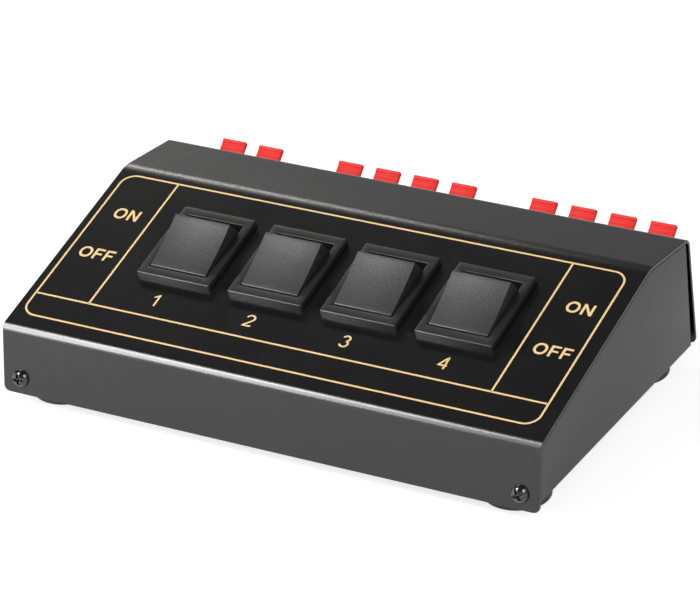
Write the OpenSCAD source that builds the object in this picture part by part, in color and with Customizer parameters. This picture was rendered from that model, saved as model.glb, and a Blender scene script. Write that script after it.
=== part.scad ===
// Four-zone speaker selector switch box.
// Folded sheet-steel cover over a U-shaped chassis, four rocker switches on the
// sloped panel and three blocks of spring-lever wire terminals at the back.
// Frame: X to the right, Y to the back, Z up, in millimetres. The origin lies on
// the surface that the feet stand on, half way across the box and half way from
// the front screw heads to the tips of the rear levers.

/* [Cover] */
// Width of the box
case_w = 182; // [180:1:220]
// Length of the front flange, from its lower edge to the lower bend
front_flange_h = 21.75; // [19:0.25:30]
// Lean of the front flange, backwards from the vertical
front_lean = 6; // [0:0.5:10]
// Length of the sloped control panel between its bends
panel_len = 77.3; // [74:0.1:95]
// Slope of the control panel
panel_slope = 16.1; // [14:0.1:20]
// Length of the top strip behind the upper bend
top_len = 28.6; // [26:0.1:40]
// Fall of the top strip towards the back
top_fall = 5.25; // [0:0.25:8]
// Lean of the rear flange, outwards at the bottom
rear_lean = 8.2; // [4:0.1:12]
// Thickness of the cover sheet
cover_t = 1.0; // [0.8:0.1:1.2]
// Outer radius of the lower front bend
low_bend_r = 3; // [2:0.25:5]
// Outer radius of the soft bend between the panel and the top strip
top_bend_r = 14; // [8:0.5:16]
// Outer radius of the rear bend
rear_bend_r = 3.5; // [2:0.25:5]
// Radius of the rounded lower corners of both flanges
flange_corner_r = 2; // [1:0.25:3]
// How far the front flange hangs below the chassis floor
flange_drop = 2.3; // [1:0.1:3]

/* [Chassis] */
// Thickness of the chassis sheet
chassis_t = 1.0; // [0.8:0.1:1.2]
// Outer radius of the bends between the floor and the side walls
chassis_bend_r = 1.6; // [1.3:0.1:2.5]
// Gap between the cover sheet and the edges of the side walls
wall_gap = 0.2; // [0.1:0.05:0.4]
// Gap between the rear flange and the side walls, at the top
rear_gap_top = 1.9; // [1:0.1:3]
// Gap between the rear flange and the side walls, at the floor
rear_gap_low = 3.4; // [2:0.1:5]
// Height of the front fixing lips above the lower edge of their flange
lip_h = 11; // [10:0.5:13]
// Gap between the rear fixing lips and the terminal blocks above them
lip_clear = 0.4; // [0.3:0.05:0.6]
// Width of each fixing lip
lip_w = 12; // [9:0.5:14]
// Gap between a fixing lip and the flange in front of it
lip_gap = 0.1; // [0.05:0.05:0.3]
// Distance from the outside of a side wall to the fixing lip
lip_inset = 2.2; // [2:0.1:4]

/* [Feet] */
// Height of the rubber feet
foot_h = 6; // [4:0.25:10]
// Diameter of a foot where it meets the floor of the chassis
foot_d = 20.5; // [12:0.5:22]
// Rounding of a foot's lower edge
foot_round = 0.8; // [0.4:0.1:3]
// Distance of the foot centres from the sides of the box
foot_side = 13.8; // [13:0.1:25]
// Distance of the front foot centres from the front edge
foot_front = 13.7; // [13:0.1:25]
// Distance of the rear foot centres from the front edge
foot_rear = 96; // [70:0.5:97]

/* [Cover screws] */
// Diameter of the screw heads
screw_head_d = 5.8; // [5:0.1:6]
// Height of the screw heads
screw_head_h = 2.2; // [1.6:0.1:2.6]
// Diameter of the screw shanks
screw_d = 2.7; // [2.5:0.1:2.8]
// Length of the screw shanks
screw_len = 4.5; // [4:0.25:4.75]
// Clearance round a shank in the tapped hole of the lip
screw_fit = 0.05; // [0.03:0.01:0.1]
// Clearance round a shank in the cover
screw_play = 0.3; // [0.2:0.05:0.5]
// Distance of the screws from the sides of the box
screw_side = 6.2; // [5.5:0.1:9]
// Height of the front screws above the lower edge of their flange
screw_up_front = 5.2; // [4.5:0.1:8]
// Height of the rear screws above the lower edge of their flange
screw_up_rear = 3.6; // [3.2:0.1:3.7]

/* [Rocker switches] */
// Distance between neighbouring rockers
rocker_pitch = 31.9; // [29:0.1:40]
// Place of the rocker centres, measured up the panel from the lower bend
rocker_up = 47.2; // [44:0.1:50]
// Width of the bezel
bezel_w = 25.4; // [24:0.1:28]
// Length of the bezel
bezel_l = 31.4; // [30:0.1:35]
// Thickness of the bezel
bezel_t = 1.8; // [1.5:0.1:2.5]
// Chamfer on the bezel's upper edges
bezel_chamfer = 0.4; // [0.2:0.05:0.6]
// Width of the paddle
paddle_w = 19.4; // [15:0.1:19.6]
// Length of the paddle's flat top
paddle_l = 19.04; // [17:0.02:19.6]
// Depth of the finger hollow along the paddle's top
hollow_depth = 0.4; // [0.2:0.05:0.6]
// Height of the paddle's top edges above its pivot
paddle_h = 10.34; // [9.5:0.02:10.6]
// Depth of the pivot below the outside of the panel
pivot_depth = 5.3; // [4.6:0.1:6]
// Tilt of the paddle to either side of the middle
rocker_tilt = 16; // [12:0.5:17]
// Clearance between the paddle and the sides of its opening
paddle_side_gap = 0.3; // [0.2:0.05:0.5]
// Clearance between the paddle's swing and the ends of its opening
paddle_end_gap = 0.4; // [0.3:0.05:0.8]
// Side wall of the switch body
body_side_wall = 0.9; // [0.8:0.05:1.2]
// End wall of the switch body
body_end_wall = 1.4; // [1:0.1:1.6]
// Depth of the switch body below the panel
body_depth = 17; // [16.8:0.1:18]
// Floor of the switch body
body_floor = 1.6; // [1.2:0.1:1.7]
// Clearance between the switch body and the cut-out in the panel
cutout_gap = 0.2; // [0.1:0.05:0.4]
// Radius of the paddle's pivot pins
pivot_r = 1.5; // [1:0.1:2]
// Radial running clearance of the pivot pins
pivot_fit = 0.06; // [0.03:0.01:0.1]
// How far a pivot pin reaches into the side wall
pivot_reach = 0.7; // [0.5:0.05:0.8]

/* [Switch contacts] */
// Distance of the two poles from the middle of the switch
pole_offset = 5; // [4:0.1:6]
// Width of a contact blade
lug_w = 4; // [3:0.1:4.8]
// Thickness of a contact blade
lug_t = 0.8; // [0.6:0.05:1]
// Length of a contact blade below the switch body
lug_out = 5.5; // [4:0.1:6]
// Clearance of a contact blade in its slot
lug_fit = 0.05; // [0.03:0.01:0.1]
// Distance between the middle blade and the front blade
lug_step = 7; // [6:0.1:8]
// Radius of the plungers
plunger_r = 1.2; // [1:0.05:1.4]
// Clearance round a plunger in the paddle
plunger_fit = 0.05; // [0.03:0.01:0.1]
// Distance of the plunger tip below the pivot
plunger_tip = 6.6; // [6:0.1:6.7]
// Length of the contact bridge
bridge_l = 16; // [14:0.1:17]
// Thickness of the contact bridge
bridge_t = 0.6; // [0.5:0.05:0.8]
// Depth of the contact bridge's fulcrum below the pivot
bridge_drop = 7.7; // [7.6:0.05:8]
// Radius of the rolled top of the middle blade, on which the bridge rocks
fulcrum_r = 0.5; // [0.45:0.05:0.6]
// Tilt of the contact bridge to either side of the middle
bridge_tilt = 7; // [5:0.5:8]

/* [Terminals] */
// Distance between neighbouring terminals
term_pitch = 13.5; // [13:0.1:13.8]
// Place of the first input terminal, from the left side of the box
input_first = 15.8; // [15:0.1:19]
// Distance of the first terminal of zones 1 and 2 from the middle of the box
zone_12_first = 32.3; // [30:0.1:33]
// Place of the last terminal of zones 3 and 4, from the right side of the box
zone_34_last = 14.2; // [14:0.1:16]
// Width of the fixing ear at each end of a block
ear_w = 5; // [4.6:0.1:5.2]
// How far a block stands off the rear flange
face_t = 3; // [2.5:0.1:3.2]
// Height of a block's face
face_h = 25; // [24.8:0.1:25.2]
// Height of the middle of the blocks above the lower edge of the flange
face_mid = 19.3; // [19.1:0.1:19.6]
// Height of the block's body behind the flange
block_h = 23.8; // [23.6:0.1:24]
// Depth of the block's body behind the outside of the flange
block_depth = 13; // [12.6:0.1:15]
// Clearance between a block's body and the opening in the flange
block_gap = 0.2; // [0.1:0.05:0.3]
// Back wall of a block
block_wall = 0.6; // [0.5:0.05:0.8]
// Radius of the wire entries
wire_hole_r = 1.4; // [1.1:0.05:1.45]
// Distance of a wire entry from the middle of the block
wire_hole_off = 1.9; // [1.8:0.05:2]
// Radius of the terminal screws' shanks
ear_screw_r = 1.1; // [0.9:0.05:1.2]
// Radius of the terminal screws' heads
ear_head_r = 2.1; // [1.8:0.05:2.2]

/* [Terminal levers] */
// Width of a lever
lever_w = 8.45; // [7:0.05:8.5]
// Length of a lever from its pivot to its tip
lever_l = 13; // [11:0.1:15]
// Thickness of a lever
lever_t = 1.4; // [1.2:0.1:1.6]
// How far the upper side of a lever's plate lies below its pivot
lever_drop = 1.25; // [1:0.05:1.3]
// Angle of a lever above the flange's outward direction, at rest
lever_rest = 34; // [30:0.5:36]
// Travel of a lever when it is pressed
lever_travel = 22; // [15:0.5:24]
// Distance of the lever pivots from the middle of the block
lever_pivot_off = 7.7; // [7.6:0.05:7.9]
// Distance of the lever pivots behind the block's face
lever_pivot_in = 2.3; // [2.25:0.05:2.4]
// Radius of a lever's hub
hub_r = 2.2; // [2:0.05:2.25]
// Radius of a lever's pivot pins
lever_pin_r = 1.0; // [0.8:0.05:1.1]
// Radial running clearance of a lever's pivot pins
lever_fit = 0.06; // [0.03:0.01:0.1]
// How far a pivot pin stands out of a lever
lever_pin_out = 1.07; // [0.8:0.01:1.2]
// Clearance between a lever and the sides of its slot
lever_gap = 0.275; // [0.2:0.025:0.4]
// Length of the inner finger that opens the clip
finger_l = 8.5; // [7:0.1:8.8]
// Thickness of the inner finger
finger_t = 1.8; // [1.4:0.1:2]
// Height of the grip ribs
rib_h = 0.2; // [0.1:0.05:0.3]
// Height of the lip at the tip of a lever
tip_h = 0.25; // [0.1:0.05:0.4]

/* [Board and wiring] */
// Thickness of the circuit board
board_t = 1.6; // [1.2:0.1:2]
// Height of the circuit board
board_h = 25; // [24.8:0.1:27]
// Distance of the board's ends from the sides of the box
board_side = 7; // [5:0.5:8]
// Thickness of a spring clip
clip_t = 0.5; // [0.4:0.05:0.6]
// Width of a spring clip
clip_w = 6; // [5:0.1:7]
// Side of a clip's square tail
tail_w = 1; // [0.8:0.05:1.2]
// Length of the tails beyond the board
tail_out = 1.6; // [1:0.1:2.5]
// Clearance of a tail in the block and in the board
tail_fit = 0.1; // [0.05:0.05:0.2]
// Diameter of the hook-up wires
wire_d = 2; // [1.4:0.1:2.2]
// Bend radius at the middle of a hook-up wire
wire_bend_r = 2.5; // [2.2:0.1:3]
// Straight drop of the upper row of wires below their blades
wire_drop_up = 0.5; // [0.3:0.1:0.6]
// Straight drop of the lower row of wires below their blades
wire_drop_low = 2; // [1.9:0.1:2.5]

/* [Hidden] */
$fn = 64;
big = 400;
rocker_count = 4;
// Number of columns and first place of the three terminal blocks
block_cols = [2, 4, 4];
block_first = [
    input_first,
    case_w / 2 - zone_12_first,
    case_w - zone_34_last - (block_cols[2] - 1) * term_pitch
];
// Number of facets on each bend of the cover
bend_steps = 16;

// Heights of the floor and of the front flange above the standing surface
floor_z = foot_h;
front_z = floor_z - flange_drop;

// Unit directions of the four flats, as [y, z], and their inward normals
d_front = [sin(front_lean), cos(front_lean)];
d_panel = [cos(panel_slope), sin(panel_slope)];
d_top = [cos(top_fall), -sin(top_fall)];
d_rear = [sin(rear_lean), -cos(rear_lean)];
function inward(d) = [d[1], -d[0]];

// Length of the rear flange, which ends level with the floor
fold_rise = front_flange_h * d_front[1] + panel_len * d_panel[1] + top_len * d_top[1];
rear_flange_h = (front_z + fold_rise - floor_z) / cos(rear_lean);

// Reach of the front screw heads and of the lower levers' tips in Y, counted from
// the lower edge of the front flange
head_r = screw_head_d / 2;
dome_r = (head_r * head_r + screw_head_h * screw_head_h) / (2 * screw_head_h);
front_reach = screw_up_front * d_front[0] + (dome_r - screw_head_h) * d_front[1] - dome_r;
lever_under = lever_drop + lever_t;
tip_out = face_t - lever_pivot_in + lever_l * cos(lever_rest) + lever_under * sin(lever_rest);
tip_up = face_mid - lever_pivot_off - lever_l * sin(lever_rest) + lever_under * cos(lever_rest);
fold_depth = front_flange_h * d_front[0] + panel_len * d_panel[0] + top_len * d_top[0];
rear_edge = fold_depth + rear_flange_h * d_rear[0];
rear_reach = rear_edge + tip_out * cos(rear_lean) - tip_up * sin(rear_lean);
front_y = -(front_reach + rear_reach) / 2;

// Outer corners of the folded profile, as if the bends were sharp
p_front = [front_y, front_z];
p_low = p_front + front_flange_h * d_front;
p_up = p_low + panel_len * d_panel;
p_back = p_up + top_len * d_top;
p_rear = p_back + rear_flange_h * d_rear;

// Turns of the three bends
turn_low = 90 - front_lean - panel_slope;
turn_up = panel_slope + top_fall;
turn_back = 90 - rear_lean - top_fall;
function setback(r, turn) = r * tan(turn / 2);
function bend_mid(p, d, r, turn) = p - setback(r, turn) * d + r * inward(d);

c_low = bend_mid(p_low, d_front, low_bend_r, turn_low);
c_up = bend_mid(p_up, d_panel, top_bend_r, turn_up);
c_back = bend_mid(p_back, d_top, rear_bend_r, turn_back);

// Direction d, turned clockwise by the angle a
function turned(d, a) = [d[0] * cos(a) + d[1] * sin(a), d[1] * cos(a) - d[0] * sin(a)];

// Points of a bend of radius r round c, which starts along d and turns by the angle turn
function bend(c, d, r, turn) = [
    for (k = [0 : bend_steps])
        c - r * inward(turned(d, k * turn / bend_steps))
];

// Folded profile that lies s inside the cover's outside, its ends run on by the length e
function profile(s, e) = [
    p_front + s * inward(d_front) - e * d_front,
    each bend(c_low, d_front, low_bend_r - s, turn_low),
    each bend(c_up, d_panel, top_bend_r - s, turn_up),
    each bend(c_back, d_top, rear_bend_r - s, turn_back),
    p_rear + s * inward(d_rear) + e * d_rear
];

// Rockers
rocker_x0 = -(rocker_count - 1) / 2 * rocker_pitch;
opening_w = paddle_w + 2 * paddle_side_gap;
swing_l = paddle_l / 2 * cos(rocker_tilt) + paddle_h * sin(rocker_tilt);
opening_l = 2 * (swing_l + paddle_end_gap);
body_w = opening_w + 2 * body_side_wall;
body_l = opening_l + 2 * body_end_wall;
cavity_floor = -body_depth + body_floor;
paddle_root = 4;
paddle_play = 0.8;
hollow_rim = 0.4;
hollow_half = paddle_l / 2 - hollow_rim;
hollow_r = (hollow_half * hollow_half + hollow_depth * hollow_depth) / (2 * hollow_depth);
paddle_wide = swing_l - paddle_play;
bore_top = 3.2;
spring_gap = 0.05;
bridge_z = -pivot_depth - bridge_drop;
fulcrum_gap = 0.05;
bridge_axis = bridge_z - fulcrum_gap - fulcrum_r;
front_lug_top = bridge_z - lug_step * sin(bridge_tilt) - 0.2;
lug_end = -body_depth - lug_out;

// Terminal blocks, in the frame of the rear flange
case_left = -case_w / 2;
lever_out = face_t - lever_pivot_in;
rear_lip_h = face_mid - block_h / 2 - lip_clear;
slot_w = lever_w + 2 * lever_gap;
slot_above = 3.4;
slot_below = 2.8;
chamber_above = 2.6;
wire_floor = 0.1;
clip_room = 2.8;
rib_reach = 4.8;
slot_top = face_mid + lever_pivot_off + slot_above;
slot_low = face_mid + lever_pivot_off - slot_below;
chamber_low = face_mid + wire_hole_off - wire_hole_r - wire_floor;
chamber_top = face_mid + lever_pivot_off + chamber_above;
chamber_front = -1;
cut_overlap = 0.5;
clip_plane = -block_depth + block_wall + clip_room;
clip_top = chamber_top - 0.1;
clip_low = face_mid + 1.2;
tail_v = clip_top - tail_w / 2;
rib_first = lever_l - rib_reach;
rib_step = 1.4;
rib_w = 0.6;
tip_w = 1.2;
recess_w = 0.7;

// Centre of each column of block b, measured from the middle of the box
function col_x(b, i) = case_left + block_first[b] + i * term_pitch;
function block_left(b) = col_x(b, 0) - term_pitch / 2;
function block_width(b) = block_cols[b] * term_pitch;

// Runs its children along X from a profile drawn as [y, z]
module across(w) {
    translate([-w / 2, 0, 0])
        rotate([90, 0, 90])
            linear_extrude(w)
                children();
}

// Frame of the front flange: Y into the box, Z up the flange, origin at its lower edge
module on_front() {
    translate([0, p_front[0], p_front[1]])
        rotate([-front_lean, 0, 0])
            children();
}

// Frame of the panel: Y up the slope, Z out of the panel, origin at the lower bend
module on_panel() {
    translate([0, p_low[0], p_low[1]])
        rotate([panel_slope, 0, 0])
            children();
}

// Frame of the rear flange: Y out of the box, Z up the flange, origin at its lower edge
module on_rear() {
    translate([0, p_rear[0], p_rear[1]])
        rotate([rear_lean, 0, 0])
            children();
}

// Frame of rocker i, at the outside of the panel
module at_rocker(i) {
    on_panel()
        translate([rocker_x0 + i * rocker_pitch, rocker_up, 0])
            children();
}

// Cutter that rounds the two lower corners of a flange, in the flange's frame
module corner_cut(side) {
    translate([side * case_w / 2, 0, 0])
        mirror([side > 0 ? 1 : 0, 0, 0])
            difference() {
                translate([-1, -5, -1])
                    cube([flange_corner_r + 1, 10, flange_corner_r + 1]);
                translate([flange_corner_r, 6, flange_corner_r])
                    rotate([90, 0, 0])
                        cylinder(h = 12, r = flange_corner_r);
            }
}

module top_cover() {
    color([0.13, 0.13, 0.14])
        difference() {
            across(case_w)
                difference() {
                    polygon(profile(0, 0));
                    polygon(profile(cover_t, 9));
                }
            for (side = [-1, 1]) {
                on_front()
                    corner_cut(side);
                on_rear()
                    corner_cut(side);
                on_front()
                    translate([side * (case_w / 2 - screw_side), -5, screw_up_front])
                        rotate([-90, 0, 0])
                            cylinder(h = 10, r = screw_d / 2 + screw_play);
                on_rear()
                    translate([side * (case_w / 2 - screw_side), -5, screw_up_rear])
                        rotate([-90, 0, 0])
                            cylinder(h = 10, r = screw_d / 2 + screw_play);
            }
            for (i = [0 : rocker_count - 1])
                at_rocker(i)
                    translate([-body_w / 2 - cutout_gap, -body_l / 2 - cutout_gap, -5])
                        cube([body_w + 2 * cutout_gap, body_l + 2 * cutout_gap, 10]);
            for (b = [0 : len(block_cols) - 1])
                on_rear() {
                    translate([block_left(b) - block_gap, -5, face_mid - block_h / 2 - block_gap])
                        cube([block_width(b) + 2 * block_gap, 10, block_h + 2 * block_gap]);
                    for (x = ear_holes(b))
                        translate([x, -5, face_mid])
                            rotate([-90, 0, 0])
                                cylinder(h = 10, r = ear_screw_r + screw_play / 2);
                }
        }
}

// Places of the two fixing screws of block b
function ear_holes(b) = [
    block_left(b) - ear_w / 2,
    block_left(b) + block_width(b) + ear_w / 2
];

// Outline of a side wall, as [y, z]
module side_outline() {
    rear_top = p_back + (cover_t + rear_gap_top) * inward(d_rear);
    rear_low = p_rear + (cover_t + rear_gap_low) * inward(d_rear);
    intersection() {
        polygon(profile(cover_t + wall_gap, 9));
        polygon([
            [front_y - 9, floor_z],
            [rear_low[0], floor_z],
            rear_top + 2 * (rear_top - rear_low) / rear_flange_h,
            [front_y - 9, p_back[1] + 9]
        ]);
    }
}

// Section across the U of floor and side walls, as [x, z]
module u_section() {
    difference() {
        u_outline(0);
        u_outline(chassis_t);
    }
}

// Outline of the U, shifted inwards by s
module u_outline(s) {
    r = chassis_bend_r - s;
    translate([-case_w / 2 + s, floor_z + chassis_bend_r])
        square([case_w - 2 * s, p_up[1]]);
    translate([-case_w / 2 + chassis_bend_r, floor_z + s])
        square([case_w - 2 * chassis_bend_r, chassis_bend_r]);
    for (side = [-1, 1])
        translate([side * (case_w / 2 - chassis_bend_r), floor_z + chassis_bend_r])
            circle(r);
}

// Fixing lip that stands on the floor close behind a flange, in the flange's frame
module lip(side, foot, top, up, into) {
    x = side * (case_w / 2 - lip_inset - lip_w / 2);
    difference() {
        translate([x - lip_w / 2, into > 0 ? cover_t + lip_gap : -cover_t - lip_gap - chassis_t, foot])
            cube([lip_w, chassis_t, top - foot]);
        translate([side * (case_w / 2 - screw_side), -9, up])
            rotate([-90, 0, 0])
                cylinder(h = 18, r = screw_d / 2 + screw_fit);
    }
}

// Strip that carries the floor on into the sheets of the lips
module lip_root(y0, y1) {
    inset = lip_inset + chassis_t / 2;
    translate([inset - case_w / 2, y0, floor_z])
        cube([case_w - 2 * inset, y1 - y0, chassis_t]);
}

module chassis() {
    // Where the inner faces of the lips' sheets meet the floor
    front_lip_y = front_y + (cover_t + lip_gap) / cos(front_lean) + flange_drop * tan(front_lean);
    rear_lip_y = p_rear[0] - (cover_t + lip_gap) / cos(rear_lean);
    color([0.16, 0.16, 0.17])
        union() {
            intersection() {
                translate([0, p_rear[0] + 20, 0])
                    rotate([90, 0, 0])
                        linear_extrude(p_rear[0] - front_y + 40)
                            u_section();
                across(case_w)
                    side_outline();
            }
            intersection() {
                union() {
                    for (side = [-1, 1]) {
                        on_front()
                            lip(side, -chassis_t, lip_h, screw_up_front, 1);
                        on_rear()
                            lip(side, -chassis_t, rear_lip_h, screw_up_rear, -1);
                    }
                    lip_root(front_lip_y + chassis_t / 2, front_lip_y + 6);
                    lip_root(rear_lip_y - 9, rear_lip_y - chassis_t / 2);
                }
                translate([-big / 2, -big / 2, floor_z])
                    cube([big, big, big]);
            }
        }
}

// Cross-recessed pan-head screw, head towards -Y, seat at the origin
module pan_screw(head_r, head_h, shank_r, shank_l) {
    dome = (head_r * head_r + head_h * head_h) / (2 * head_h);
    difference() {
        union() {
            intersection() {
                translate([0, dome - head_h, 0])
                    sphere(dome);
                rotate([90, 0, 0])
                    cylinder(h = head_h + 1, r = head_r - 0.15);
            }
            rotate([-90, 0, 0])
                cylinder(h = shank_l, r = shank_r);
        }
        for (a = [0, 90])
            rotate([0, a, 0])
                translate([-head_r * 0.55, -head_h - 1, -recess_w / 2])
                    cube([head_r * 1.1, 1 + head_h * 0.55, recess_w]);
    }
}

module front_cover_screws() {
    color([0.06, 0.06, 0.06])
        on_front()
            for (side = [-1, 1])
                translate([side * (case_w / 2 - screw_side), 0, screw_up_front])
                    rotate([0, side * 12 + 20, 0])
                        pan_screw(screw_head_d / 2, screw_head_h, screw_d / 2, screw_len);
}

module rear_cover_screws() {
    color([0.06, 0.06, 0.06])
        on_rear()
            for (side = [-1, 1])
                translate([side * (case_w / 2 - screw_side), 0, screw_up_rear])
                    rotate([0, side * 20, 180])
                        pan_screw(screw_head_d / 2, screw_head_h, screw_d / 2, screw_len);
}

// Rubber foot with a rounded lower edge
module foot(side, y) {
    color([0.08, 0.08, 0.08])
        translate([side * (case_w / 2 - foot_side), front_y + y, 0])
            rotate_extrude()
                union() {
                    square([foot_d / 2 - foot_round, foot_h]);
                    translate([0, foot_round])
                        square([foot_d / 2, foot_h - foot_round]);
                    translate([foot_d / 2 - foot_round, foot_round])
                        circle(foot_round);
                }
}

module foot_front_left() {
    foot(-1, foot_front);
}

module foot_front_right() {
    foot(1, foot_front);
}

module foot_rear_left() {
    foot(-1, foot_rear);
}

module foot_rear_right() {
    foot(1, foot_rear);
}

// Rectangle with two chamfered upper corners, centred on X, standing on Y = 0
module chamfered(w, t, c) {
    polygon([[-w / 2, 0], [w / 2, 0], [w / 2, t - c], [w / 2 - c, t], [c - w / 2, t], [-w / 2, t - c]]);
}

module rocker_body(i) {
    color([0.2, 0.2, 0.21])
        at_rocker(i)
            difference() {
                union() {
                    intersection() {
                        translate([0, bezel_l / 2, 0])
                            rotate([90, 0, 0])
                                linear_extrude(bezel_l)
                                    chamfered(bezel_w, bezel_t, bezel_chamfer);
                        translate([-bezel_w / 2, 0, 0])
                            rotate([90, 0, 90])
                                linear_extrude(bezel_w)
                                    chamfered(bezel_l, bezel_t, bezel_chamfer);
                    }
                    translate([-body_w / 2, -body_l / 2, -body_depth])
                        cube([body_w, body_l, body_depth + bezel_t / 2]);
                }
                translate([-opening_w / 2, -opening_l / 2, cavity_floor])
                    cube([opening_w, opening_l, body_depth + bezel_t + 1]);
                translate([-body_w, 0, -pivot_depth])
                    rotate([0, 90, 0])
                        cylinder(h = 2 * body_w, r = pivot_r + pivot_fit);
                for (x = [-pole_offset, pole_offset])
                    for (y = [0, -lug_step])
                        translate([x - lug_w / 2 - lug_fit, y - lug_t / 2 - lug_fit, -body_depth - 1])
                            cube([lug_w + 2 * lug_fit, lug_t + 2 * lug_fit, body_floor + 2]);
            }
}

module rocker_body_1() {
    rocker_body(0);
}

module rocker_body_2() {
    rocker_body(1);
}

module rocker_body_3() {
    rocker_body(2);
}

module rocker_body_4() {
    rocker_body(3);
}

// Frame of a paddle: its pivot, with the front end pressed down
module at_paddle(i) {
    at_rocker(i)
        translate([0, 0, -pivot_depth])
            rotate([rocker_tilt, 0, 0])
                children();
}

module rocker_paddle(i) {
    color([0.24, 0.24, 0.25])
        at_paddle(i)
            difference() {
                union() {
                    translate([-paddle_w / 2, 0, 0])
                        rotate([90, 0, 90])
                            linear_extrude(paddle_w)
                                polygon([
                                    [-paddle_l / 2, paddle_h],
                                    [paddle_l / 2, paddle_h],
                                    [paddle_wide, 3],
                                    [paddle_wide, 0],
                                    [paddle_root, -paddle_root],
                                    [-paddle_root, -paddle_root],
                                    [-paddle_wide, 0],
                                    [-paddle_wide, 3]
                                ]);
                    translate([-paddle_w / 2 - paddle_side_gap - pivot_reach, 0, 0])
                        rotate([0, 90, 0])
                            cylinder(h = paddle_w + 2 * (paddle_side_gap + pivot_reach), r = pivot_r);
                }
                for (x = [-pole_offset, pole_offset])
                    translate([x, 0, -paddle_root - 1])
                        cylinder(h = paddle_root + 1 + bore_top, r = plunger_r + plunger_fit);
                translate([-paddle_w, 0, paddle_h - hollow_depth + hollow_r])
                    rotate([0, 90, 0])
                        cylinder(h = 2 * paddle_w, r = hollow_r);
            }
}

module rocker_paddle_1() {
    rocker_paddle(0);
}

module rocker_paddle_2() {
    rocker_paddle(1);
}

module rocker_paddle_3() {
    rocker_paddle(2);
}

module rocker_paddle_4() {
    rocker_paddle(3);
}

// Two plungers with round tips, and the springs behind them, inside a paddle
module rocker_plungers(i) {
    at_paddle(i)
        for (x = [-pole_offset, pole_offset])
            translate([x, 0, 0]) {
                color([0.85, 0.83, 0.76])
                    union() {
                        translate([0, 0, -plunger_tip + plunger_r])
                            cylinder(h = plunger_tip - plunger_r - 0.6, r = plunger_r);
                        translate([0, 0, -plunger_tip + plunger_r])
                            sphere(plunger_r);
                    }
                color([0.7, 0.7, 0.7])
                    difference() {
                        translate([0, 0, -0.6 + spring_gap])
                            cylinder(h = bore_top + 0.6 - 2 * spring_gap, r = plunger_r - spring_gap);
                        translate([0, 0, -1])
                            cylinder(h = bore_top + 2, r = plunger_r - 0.5);
                    }
            }
}

module rocker_plungers_1() {
    rocker_plungers(0);
}

module rocker_plungers_2() {
    rocker_plungers(1);
}

module rocker_plungers_3() {
    rocker_plungers(2);
}

module rocker_plungers_4() {
    rocker_plungers(3);
}

// Two contact bridges, tilted back on the rolled tops of the middle blades
module contact_bridges(i) {
    color([0.8, 0.65, 0.35])
        at_rocker(i)
            translate([0, 0, bridge_axis])
                rotate([-bridge_tilt, 0, 0])
                    for (x = [-pole_offset, pole_offset])
                        translate([x - lug_w / 2, -bridge_l / 2, bridge_z - bridge_axis])
                            cube([lug_w, bridge_l, bridge_t]);
}

module contact_bridges_1() {
    contact_bridges(0);
}

module contact_bridges_2() {
    contact_bridges(1);
}

module contact_bridges_3() {
    contact_bridges(2);
}

module contact_bridges_4() {
    contact_bridges(3);
}

module switch_blades() {
    color([0.8, 0.65, 0.35])
        for (i = [0 : rocker_count - 1])
            at_rocker(i)
                for (x = [-pole_offset, pole_offset]) {
                    union() {
                        translate([x - lug_w / 2, -lug_t / 2, lug_end])
                            cube([lug_w, lug_t, bridge_axis - lug_end]);
                        translate([x - lug_w / 2, 0, bridge_axis])
                            rotate([0, 90, 0])
                                cylinder(h = lug_w, r = fulcrum_r);
                    }
                    translate([x - lug_w / 2, -lug_step - lug_t / 2, lug_end])
                        cube([lug_w, lug_t, front_lug_top - lug_end]);
                }
}

// Flips its children about the middle of a block: row 1 is above, row -1 below
module row(r) {
    translate([0, 0, face_mid])
        mirror([0, 0, r > 0 ? 0 : 1])
            translate([0, 0, -face_mid])
                children();
}

// Everything that is cut out of a block for one terminal
module cell_cut() {
    // Slot through the face for the lever
    translate([-slot_w / 2, chamber_front - cut_overlap, slot_low])
        cube([slot_w, face_t - chamber_front + 2 * cut_overlap, slot_top - slot_low]);
    // Chamber for the finger and the spring clip
    translate([-slot_w / 2, -block_depth + block_wall, chamber_low])
        cube([slot_w, block_depth - block_wall + chamber_front, chamber_top - chamber_low]);
    // Pockets for the lever's pivot pins
    translate([0, lever_out, face_mid + lever_pivot_off])
        rotate([0, 90, 0])
            cylinder(h = lever_w + 2 * lever_pin_out + 0.2, r = lever_pin_r + lever_fit, center = true);
    // Wire entry
    translate([0, chamber_front - cut_overlap, face_mid + wire_hole_off])
        rotate([-90, 0, 0])
            cylinder(h = face_t - chamber_front + 2 * cut_overlap, r = wire_hole_r);
    // Hole for the clip's tail
    translate([-tail_w / 2 - tail_fit, -block_depth - 1, tail_v - tail_w / 2 - tail_fit])
        cube([tail_w + 2 * tail_fit, block_wall + 2, tail_w + 2 * tail_fit]);
}

module terminal_block(b) {
    color([0.1, 0.1, 0.1])
        on_rear()
            difference() {
                union() {
                    translate([block_left(b) - ear_w, 0, face_mid - face_h / 2])
                        cube([block_width(b) + 2 * ear_w, face_t, face_h]);
                    translate([block_left(b), -block_depth, face_mid - block_h / 2])
                        cube([block_width(b), block_depth + face_t / 2, block_h]);
                }
                for (i = [0 : block_cols[b] - 1])
                    for (r = [-1, 1])
                        translate([col_x(b, i), 0, 0])
                            row(r)
                                cell_cut();
                for (x = ear_holes(b))
                    translate([x, -1, face_mid])
                        rotate([-90, 0, 0])
                            cylinder(h = face_t + 2, r = ear_screw_r + screw_fit);
            }
}

module input_terminal_block() {
    terminal_block(0);
}

module zone_12_terminal_block() {
    terminal_block(1);
}

module zone_34_terminal_block() {
    terminal_block(2);
}

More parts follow.
